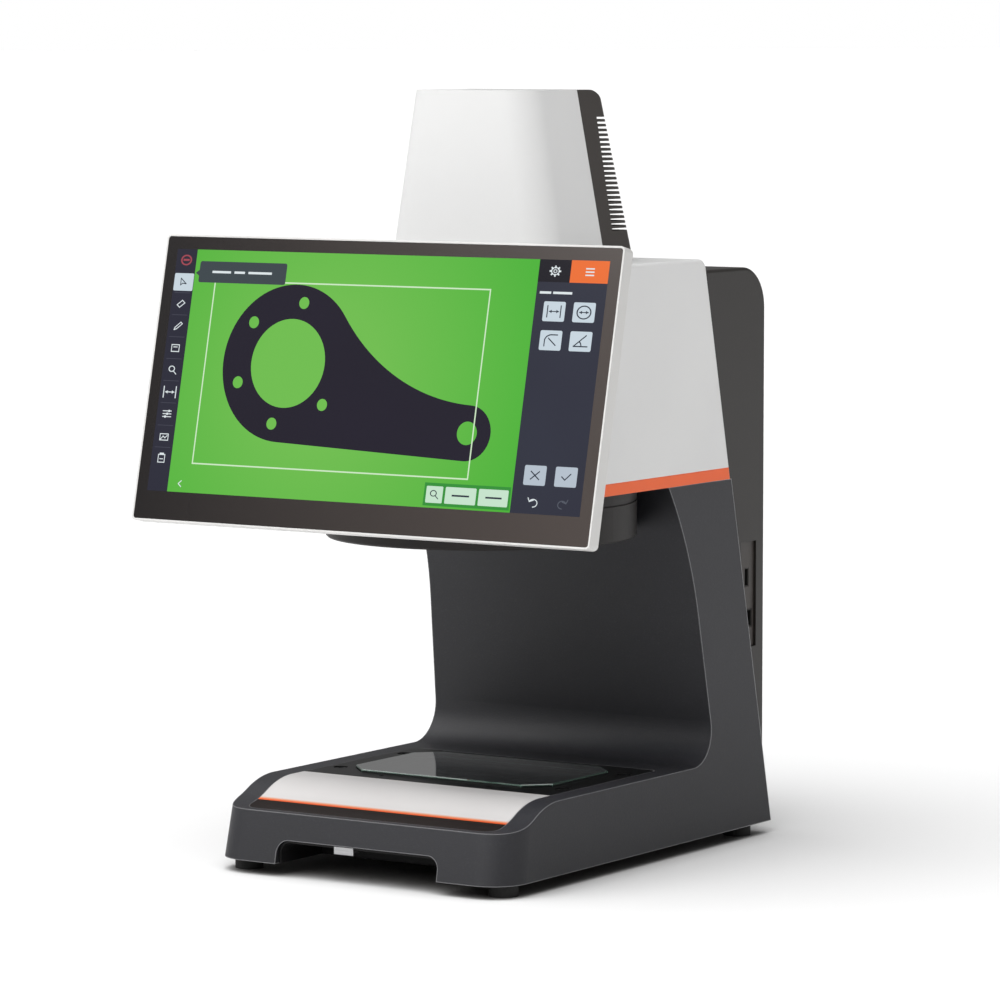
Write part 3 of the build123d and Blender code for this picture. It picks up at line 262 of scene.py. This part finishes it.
def circuit_board():
    green = ink("#0f3d22")
    finish = Finish("circuit board", green, 0.4)
    tracks = {"Color1": green, "Color2": ink("#12492a"), "Mortar": ink("#3f7a4d"),
              "Scale": 160.0, "Mortar Size": 0.012}
    lacquer = finish.noise(220.0, 2.0)
    finish.paint(finish.node("TexBrick", {}, {"Vector": finish.where(), **tracks}))
    finish.set(Roughness=0.34 + lacquer * 0.12)
    return finish.bumped(lacquer, 0.00002)


def behind_glass(name):
    """Dark glass that the picture's light comes through."""
    return Finish(name, ink("#030303"), 0.1, Emission_Strength=1.0, Specular_IOR_Level=0.25)


def lit(name, color, other=None):
    """A lit area of the picture, with a slow change between two tones."""
    finish = behind_glass(name)
    slow = finish.noise(12.0, 1.0)
    return finish.set(Emission_Color=finish.blend(slow, ink(color), ink(other or color)))


def lit_field():
    """Green light of the picture, yellower in its middle."""
    finish = behind_glass("picture green")
    away = finish.measure("DISTANCE", finish.where(), place(-45.0, SCREEN_Y, SCREEN_Z))
    rim = finish.blend(finish.noise(5.0, 1.0), ink("#4fb53c"), ink("#46af33"))
    return finish.set(Emission_Color=finish.blend(away.between(0.05, 0.19), ink("#70bd50"), rim))


def finish_nodes():
    of_slot = {
        "frame_paint": cast_paint(),
        "cover_light": moulded("light cover", "#d6d6d6", "#e0e0df", 0.42),
        "cover_dark": moulded("dark cover", "#332e2b", "#3c3734", 0.45),
        "housing_paint": moulded("housing paint", "#1e1b18", "#262220", 0.42,
                                 grain=900.0, depth=0.00004, gloss=0.4),
        "orange_trim": moulded("orange trim", "#e85714", "#ee631c", 0.35),
        "panel_light": panel_paint(),
        "panel_dark": moulded("dark strip", "#1c1615", "#241d1b", 0.5, gloss=0.15),
        "stage_metal": anodised("black stage", "#0c0c0c", "#131313", 0.42, 0.3),
        "stage_glass": stage_glass(),
        "lens_glass": clear_glass("lens glass", "#5d6f86", 0.02, 0.4),
        "rubber": moulded("rubber", "#161616", "#1e1e1e", 0.75, grain=700.0, depth=0.00005),
        "steel": brushed("bright steel", "#9a9a9b", "#c0c0c1", 0.32),
        "black_screw": anodised("black screw", "#121212", "#1c1c1c", 0.35, 0.5),
        "sheet": brushed("zinc sheet", "#a7a8a8", "#c6c7c7", 0.34),
        "plate_metal": brushed("machined aluminium", "#b4b5b6", "#cfd0d1", 0.36),
        "optic_metal": anodised("black anodised", "#121213", "#19191a", 0.45, 0.3),
        "inner_plastic": moulded("inner plastic", "#151515", "#1c1c1c", 0.5),
        "diffuser": moulded("opal diffuser", "#e9ecea", "#f1f3f1", 0.5),
        "board": circuit_board(),
        "led": moulded("led resin", "#efe9c8", "#f6f2da", 0.25),
        "sensor": moulded("sensor glass", "#1b1723", "#2a2236", 0.1),
        "display_glass": cover_glass(),
        "display_silver": moulded("silver paint", "#c9c8c6", "#d6d5d3", 0.33),
        "supply_case": brushed("supply case", "#a3a3a0", "#bdbdba", 0.4),
    }
    of_piece = {
        # painted shade: the sheet pan in the recess is given a near-black paint for the shade there
        "grip_pan": moulded("pan in painted shade", "#121112", "#191819", 0.5, gloss=0.2),
        "port_sockets": anodised("dark socket", "#2c2b2a", "#3a3937", 0.4, 0.6),
        "lens_drum": moulded("drum paint", "#1b1918", "#242120", 0.5, gloss=0.3),
    }
    for subpart in frame["record"]["subparts"]:
        piece = frame["nodes"][subpart["node"]]
        finish = of_piece.get(subpart["node"], of_slot[subpart["material_slot"]])
        if piece.material_slots:
            for slot in piece.material_slots:
                slot.material = finish.material
        else:
            piece.data.materials.append(finish.material)


# The lit picture: thin layers on the glass, drawn in millimetres from the middle of
# the lit area

PICTURE_STEP = 0.03       # thickness of a layer
screen_to_machine = (Matrix.Translation(place(0, SCREEN_Y, SCREEN_Z))
                     @ Matrix.Rotation(radians(-SCREEN_TILT), 4, "X")
                     @ Matrix.Scale(MM, 4))


def sheet(loops):
    """Flat sheet with holes, cut along closed loops of (x, z) points."""
    curve = bpy.data.curves.new("cut", "CURVE")
    curve.dimensions = "2D"
    curve.fill_mode = "BOTH"
    curve.extrude = PICTURE_STEP / 2
    for loop in loops:
        spline = curve.splines.new("POLY")
        spline.points.add(len(loop) - 1)
        for point, (x, z) in zip(spline.points, loop):
            point.co = (x, z, 0, 1)
        spline.use_cyclic_u = True
    holder = bpy.data.objects.new("cut", curve)
    mesh = bpy.data.meshes.new_from_object(holder)
    bpy.data.objects.remove(holder)
    bpy.data.curves.remove(curve)
    return mesh


def picture(name, shapes, level, finish):
    """A piece of the lit picture. Each shape is a list of loops: its outline, then its holes."""
    build = bmesh.new()
    for loops in shapes:
        part = sheet(loops)
        build.from_mesh(part)
        bpy.data.meshes.remove(part)
    bmesh.ops.remove_doubles(build, verts=build.verts, dist=0.0001)
    middle = -(level + 0.5) * PICTURE_STEP
    for vert in build.verts:
        x, z, y = vert.co
        vert.co = screen_to_machine @ Vector((x, middle - y, z))
    mesh = bpy.data.meshes.new(name)
    build.to_mesh(mesh)
    build.free()
    mesh.materials.append(finish.material)
    piece = bpy.data.objects.new(name, mesh)
    bpy.context.collection.objects.link(piece)
    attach(piece, "display")


def bar(x0, x1, z0, z1):
    return [(x0, z0), (x1, z0), (x1, z1), (x0, z1)]


def arc(x, z, radius, start, end, steps, stretch=1.0):
    turns = [start + (end - start) * i / steps for i in range(steps + 1)]
    return [(x + stretch * radius * cos(turn), z + radius * sin(turn)) for turn in turns]


def circle(x, z, radius, steps, stretch=1.0):
    return arc(x, z, radius, 0, tau, steps, stretch)[:-1]


def rounded(x0, x1, z0, z1, radius):
    corners = ((x1 - radius, z0 + radius, -0.25), (x1 - radius, z1 - radius, 0),
               (x0 + radius, z1 - radius, 0.25), (x0 + radius, z0 + radius, 0.5))
    return [p for x, z, turn in corners for p in arc(x, z, radius, turn * tau, (turn + 0.25) * tau, 5)]


def button(x, z):
    half_w, half_h, corner = 8.6, 6.7, 1.2
    return [rounded(x - half_w, x + half_w, z - half_h, z + half_h, corner)]


def stroke(points, width):
    """A line with square ends, as one shape for each straight run."""
    shapes = []
    for start, end in zip(points, points[1:]):
        start, end = Vector(start), Vector(end)
        along = (end - start).normalized() * width / 2
        side = Vector((-along.y, along.x))
        corners = (start - along + side, start - along - side, end + along - side, end + along + side)
        shapes.append([[tuple(corner) for corner in corners]])
    return shapes


LINE = 0.62               # width of the lines in most signs
BOLD = 0.8                # and in those on the light buttons
WIDE = 1.25               # signs are a little wider than high

# Signs: lines through points round (0, 0)
SLIDER_ROWS = (-1.8, 0.2, 2.2)
SIGNS = {
    "pointer": [[(-2, 2.6), (-2, -2.2), (-0.6, -0.9), (1.8, -1.2), (-2, 2.6)]],
    "eraser": [[(-2.6, -0.6), (0.8, 2.6), (2.6, 0.8), (-0.8, -2.4), (-2.6, -0.6)]],
    "pencil": [[(-2.6, -2.6), (-2, -0.8), (1.6, 2.8), (2.7, 1.7), (-0.9, -1.9), (-2.6, -2.6)]],
    "frame": [[(-2.6, 2.4), (2.6, 2.4), (2.6, -2.4), (-2.6, -2.4), (-2.6, 2.4)],
              [(-1.2, 0.8), (1.2, 0.8)]],
    "lens": [[(0.8, -0.9), (2.6, -2.8)]],
    "caliper": [[(-4.2, 3.8), (-4.2, -3.8)], [(4.2, 3.8), (4.2, -3.8)]],
    "sliders": [[(-2.8, row), (2.8, row)] for row in SLIDER_ROWS],
    "picture": [[(-2.8, 2.2), (2.8, 2.2), (2.8, -2.2), (-2.8, -2.2), (-2.8, 2.2)],
                [(-2.2, -1.4), (-0.6, 0.6), (0.6, -0.6), (2, 1)]],
    "clipboard": [[(-2.2, 2.4), (2.2, 2.4), (2.2, -3), (-2.2, -3), (-2.2, 2.4)],
                  [(-1, -0.6), (1, -0.6)]],
    "corner": [[(-3.8, -3.8), (-3.8, 0.2)], arc(0.4, -0.4, 4.2, pi, pi / 2, 8),
               [(0.4, 3.8), (4, 3.8)], [(3.2, -3.2), (-1.4, 1.4)]],
    "angle": [[(3.2, 4), (-4.2, -3.4), (4.4, -3.4)], arc(-4.2, -3.4, 4.8, 0, 0.76, 5)],
    "cross": [[(-2.6, 2.6), (2.6, -2.6)], [(-2.6, -2.6), (2.6, 2.6)]],
    "tick": [[(-2.6, 0), (-0.6, -2), (2.8, 2)]],
    "back": [arc(0, -0.8, 2.6, -pi / 2, pi * 0.8, 10), [(-3.4, 2.6), (-2.4, 0.2), (0, 1.2)]],
}
SIGNS["forward"] = [[(-x, z) for x, z in line] for line in SIGNS["back"]]

# Where things stand in the picture
TOOLBAR_X = -161.2        # right edge of the toolbar
TOOLBAR_MIDDLE_X = -169.8
TOP_SIGN_Z = 77.8
CHOSEN_Z = 62.2           # the tool that is in use, and the mark behind it
CHOSEN_MARK = (-178.2, -161.6, CHOSEN_Z - 6.2, CHOSEN_Z + 6.2)
TOOLS = {"eraser": 46.6, "pencil": 30.9, "frame": 15.3, "lens": -0.2, "caliper": -15.8,
         "sliders": -31.4, "picture": -47.6, "clipboard": -62.4}
TOOLBAR_LINES = (54.4, 38.7, 23.1, 7.6, -8.0, -23.6, -39.5, -55.0)
PANEL_X = 123.6           # left edge of the panel
PANEL_DASHES = ((126.4, 9), (137, 15))
PANEL_DASHES_Z = (62.4, 64.0)
PANEL_SIGNS = {"gear": (136.7, TOP_SIGN_Z), "back": (141.0, -77.5)}
DIM_SIGN = (163.8, -77.6)
TAB_X = 148.8             # where the dark tab ends and the orange one starts
TAB_Z = 70.4
MENU_X = (160.6, 167.4)
MENU_BARS = (75.2, 77.4, 79.6)
MEASURES = {"caliper": (139.4, 50.6), "round": (163.0, 50.6),
            "corner": (139.4, 31.1), "angle": (163.0, 31.1)}
ANSWERS = {"cross": (140.0, -59.7), "tick": (164.4, -59.7)}
WINDOW = (-143.0, 87.5, -65.4, 64.4)
WINDOW_LINE = 1.0
BUBBLE = (-157.3, -82.7, 62.4, 77.4)
BUBBLE_TIP = [(-160.2, 69), (-157, 66.8), (-157, 71.4)]
BUBBLE_DASHES = ((-146, 16), (-127, 9), (-115, 20))
BUBBLE_DASHES_Z = (69.2, 70.8)
VIEW_STRIP = (53.4, PANEL_X - 1, -84.2, -68.6)
VIEW_BUTTONS = ((55.2, 68.6), (70.6, 95.4), (97.4, 121.0))
VIEW_BUTTONS_Z = (-82.2, -70.8)
VIEW_DASHES = ((76, 14), (103, 13))
VIEW_DASHES_Z = (-77.1, -75.9)
VIEW_LENS = (61.9, -76.5)
FOLD_SIGN = [(-150, -77.6), (-152.4, -79.6), (-150, -81.6)]


def spread(points, x, z):
    """A sign's points at its place."""
    return [(x + WIDE * px, z + pz) for px, pz in points]


def hoop(x, z, radius, width):
    return [[circle(x, z, radius + width / 2, 32, WIDE), circle(x, z, radius - width / 2, 32, WIDE)]]


def double_arrow(x, z, reach):
    shapes = stroke(spread([(-reach, 0), (reach, 0)], x, z), LINE)
    for side in (-1, 1):
        head = [(side * reach, 0), (side * (reach - 1.5), 1.2), (side * (reach - 1.5), -1.2)]
        shapes.append([spread(head, x, z)])
    return shapes


def sign(kind, x, z):
    width = BOLD if kind in MEASURES or kind in ANSWERS else LINE
    shapes = [run for line in SIGNS.get(kind, []) for run in stroke(spread(line, x, z), width)]
    if kind == "lens":
        shapes += hoop(x - 0.8, z + 0.8, 1.9, width)
    elif kind == "caliper":
        shapes += double_arrow(x, z, 3.0)
    elif kind == "round":
        shapes += hoop(x, z, 4.3, width) + double_arrow(x, z, 2.8)
    elif kind == "sliders":
        shapes += [[circle(x + WIDE * row * 0.6, z + row, 0.9, 12)] for row in SLIDER_ROWS]
    elif kind == "clipboard":
        shapes += stroke(spread([(-1, 3), (1, 3)], x, z), 1.3)
    elif kind == "home":
        shapes += hoop(x, z, 3.3, 1.0) + [[bar(x - 2.6, x + 2.6, z - 0.6, z + 0.8)]]
    elif kind == "gear":
        shapes += hoop(x, z, 2.5, width * 0.8) + hoop(x, z, 1.0, width * 0.8)
        for turn in (i * tau / 8 for i in range(8)):
            tooth = [(radius * cos(turn), radius * sin(turn)) for radius in (2.4, 3.2)]
            shapes += stroke(spread(tooth, x, z), 1.1)
    return shapes


def signs(places):
    return [shape for kind, (x, z) in places.items() for shape in sign(kind, x, z)]


def dashes(runs, z0, z1):
    """Short bars, each from its left end and length."""
    return [[bar(x, x + length, z0, z1)] for x, length in runs]


def workpiece_outline():
    """Shadow of a workpiece: a drilled ring, with an arm that ends in an eye."""
    ring, ring_r, ring_bore_r = Vector((-72.0, 8.0)), 55.0, 31.0
    eye, eye_r, eye_bore_r = Vector((82.0, -34.0)), 19.0, 8.0
    waist_r = 150.0
    drilled_at_r, drilled_r = 43.0, 4.2
    reach = (eye - ring).length
    lean = atan2(eye.y - ring.y, eye.x - ring.x)
    below = lean - acos((ring_r - eye_r) / reach)     # the straight side touches ring and eye there
    to_ring, to_eye = ring_r + waist_r, eye_r + waist_r
    above = lean + acos((to_ring ** 2 + reach ** 2 - to_eye ** 2) / (2 * to_ring * reach))
    waist = ring + to_ring * Vector((cos(above), sin(above)))
    from_eye = atan2(waist.y - eye.y, waist.x - eye.x)
    outline = (arc(*ring, ring_r, above, below + tau, 56) + arc(*eye, eye_r, below, from_eye, 24)
               + arc(*waist, waist_r, from_eye - pi, above - pi, 24)[1:-1])
    drilled = [circle(x, z, drilled_r, 24) for x, z in arc(*ring, drilled_at_r, radians(80), radians(320), 4)]
    return [outline, circle(*ring, ring_bore_r, 64), circle(*eye, eye_bore_r, 32)] + drilled


def lit_areas():
    """The green field with its strip, the toolbar on the left, and the panel on the right with its tabs."""
    half_w, half_h = SCREEN_W / 2, SCREEN_H / 2
    picture("picture_field", [[bar(TOOLBAR_X, PANEL_X, -half_h, half_h)]], 0, lit_field())
    picture("picture_view_strip", [[bar(*VIEW_STRIP)]], 1, lit("picture strip", "#36903a"))
    picture("picture_toolbar", [[bar(-half_w, TOOLBAR_X, -half_h, half_h)]], 0,
            lit("picture toolbar", "#2a2a38", "#30303d"))
    picture("picture_panel", [[bar(PANEL_X, half_w, -half_h, half_h)]], 0,
            lit("picture panel", "#353845", "#2f2f3c"))
    picture("picture_tab_dark", [[bar(PANEL_X, TAB_X, TAB_Z, half_h)]], 1, lit("picture dark tab", "#1e1c24"))
    picture("picture_toolbar_lines", [[bar(-half_w + 2, TOOLBAR_X - 2, z, z + 0.35)] for z in TOOLBAR_LINES],
            1, lit("picture line", "#4a4b58"))
    picture("picture_tab_orange", [[bar(TAB_X, half_w, TAB_Z, half_h)]], 1,
            lit("picture orange", "#ea6c33", "#ee7638"))


def lit_drawing(white):
    """The workpiece in its window, and the bubble above it."""
    left, right, low, high = WINDOW
    window_inside = bar(left + WINDOW_LINE, right - WINDOW_LINE, low + WINDOW_LINE, high - WINDOW_LINE)
    picture("picture_workpiece", [workpiece_outline()], 1, lit("picture shadow", "#262230", "#221f2a"))
    picture("picture_window", [[bar(*WINDOW), window_inside]], 2, lit("picture window line", "#cfe9c6"))
    picture("picture_bubble", [[rounded(*BUBBLE, 1.6)], [BUBBLE_TIP]], 3, lit("picture bubble", "#3f484d"))
    picture("picture_bubble_dashes", dashes(BUBBLE_DASHES, *BUBBLE_DASHES_Z), 4, white)


def lit_buttons():
    light_button = lit("picture button", "#ccd8e1", "#c3d2dc")
    picture("picture_measure_buttons", [button(x, z) for x, z in MEASURES.values()], 1, light_button)
    picture("picture_answer_buttons", [button(x, z) for x, z in ANSWERS.values()], 1,
            lit("picture answer button", "#b5c0cc"))
    picture("picture_chosen_tool", [[rounded(*CHOSEN_MARK, 1.0)]], 1, light_button)
    picture("picture_view_buttons", [[rounded(*ends, *VIEW_BUTTONS_Z, 0.8)] for ends in VIEW_BUTTONS], 2,
            lit("picture view button", "#c6e3cc"))


def lit_signs(white):
    """Dark signs on the buttons, and light ones on the toolbar and the panel."""
    inked = signs({**MEASURES, **ANSWERS, "pointer": (TOOLBAR_MIDDLE_X, CHOSEN_Z), "lens": VIEW_LENS})
    tools = signs({kind: (TOOLBAR_MIDDLE_X, z) for kind, z in TOOLS.items()})
    menu = [[bar(*MENU_X, z, z + 0.9)] for z in MENU_BARS]
    picture("picture_dark_icons", inked + dashes(VIEW_DASHES, *VIEW_DASHES_Z), 3,
            lit("picture dark line", "#2c3340"))
    picture("picture_light_icons", menu + tools + signs(PANEL_SIGNS) + stroke(FOLD_SIGN, LINE), 2, white)
    picture("picture_panel_dashes", dashes(PANEL_DASHES, *PANEL_DASHES_Z), 2, white)
    picture("picture_dim_icons", sign("forward", *DIM_SIGN), 2, lit("picture dim", "#565b66"))
    picture("picture_home_icon", sign("home", TOOLBAR_MIDDLE_X, TOP_SIGN_Z), 2,
            lit("picture home", "#a34a56"))


def lit_picture():
    white = lit("picture white", "#dfe7ea")
    lit_areas()
    lit_drawing(white)
    lit_buttons()
    lit_signs(white)


# Room, lights and camera

ROOM_LIGHT = 0.27
FLOOR_REACH = 400.0       # metres
CAMERA_PLACE = (1902.6, -2718.1, 573.1)
CAMERA_DOWN = 5.316       # degrees below level
CAMERA_TURN = 33.276      # degrees to the right of the machine's front
CAMERA_LENS = 177.05      # millimetres, as is the film
CAMERA_FILM = 36


def floor():
    finish = Finish("studio floor", ink("#f4f4f4"), 0.7)
    pale = finish.blend(finish.noise(1.5, 2.0), ink("#f2f2f2"), ink("#f6f6f6"))
    # painted shadow: the floor is darkened under and beside the machine, where little sky is open
    finish.paint(finish.blend(finish.painted_shade_mask(0.05, 0.05, 0.7), pale, ink("#4c4846")))
    far = FLOOR_REACH
    near = -0.5 * far     # off centre, so that no seam of the floor runs under the machine
    mesh = bpy.data.meshes.new("studio_floor")
    mesh.from_pydata([(near, -far, 0), (far, -far, 0), (far, far, 0), (near, far, 0)], [], [(0, 1, 2, 3)])
    mesh.materials.append(finish.material)
    ground = bpy.data.objects.new("studio_floor", mesh)
    bpy.context.collection.objects.link(ground)


def softlight(name, source, strength, angle):
    """Large soft lamp far away, in the direction of source."""
    lamp = bpy.data.lights.new(name, "SUN")
    lamp.energy = strength
    lamp.angle = radians(angle)
    holder = bpy.data.objects.new(name, lamp)
    holder.rotation_euler = Vector(source).to_track_quat("Z", "Y").to_euler()
    bpy.context.collection.objects.link(holder)


def lights():
    world = bpy.data.worlds.new("studio")
    bpy.context.scene.world = world
    world.use_nodes = True
    room = Graph(world.node_tree)
    background = room.tree.nodes["Background"]
    # the page behind the machine stays white, and the room's own light is softer
    seen = room.node("LightPath", {}, {}, output="Is Camera Ray")
    level = room.node("MapRange", {}, {"Value": seen, "To Min": ROOM_LIGHT})
    room.feed(background.inputs["Strength"], level)
    room.feed(background.inputs["Color"], (1, 1, 1, 1))
    softlight("key light", source=(-0.15, -0.48, 0.86), strength=3.65, angle=84)
    softlight("side light", source=(1.0, 0.1, 0.35), strength=0.18, angle=60)


def camera():
    """Camera solved from the corners and edges of the machine in the photograph."""
    eye = bpy.data.cameras.new("camera")
    eye.lens = CAMERA_LENS
    eye.sensor_width = CAMERA_FILM
    holder = bpy.data.objects.new("camera", eye)
    holder.location = place(*CAMERA_PLACE)
    holder.rotation_euler = (radians(90 - CAMERA_DOWN), 0, radians(CAMERA_TURN))
    bpy.context.collection.objects.link(holder)
    bpy.context.scene.camera = holder
    bpy.context.scene.view_settings.view_transform = "Standard"


finish_nodes()
lit_picture()
floor()
lights()
camera()
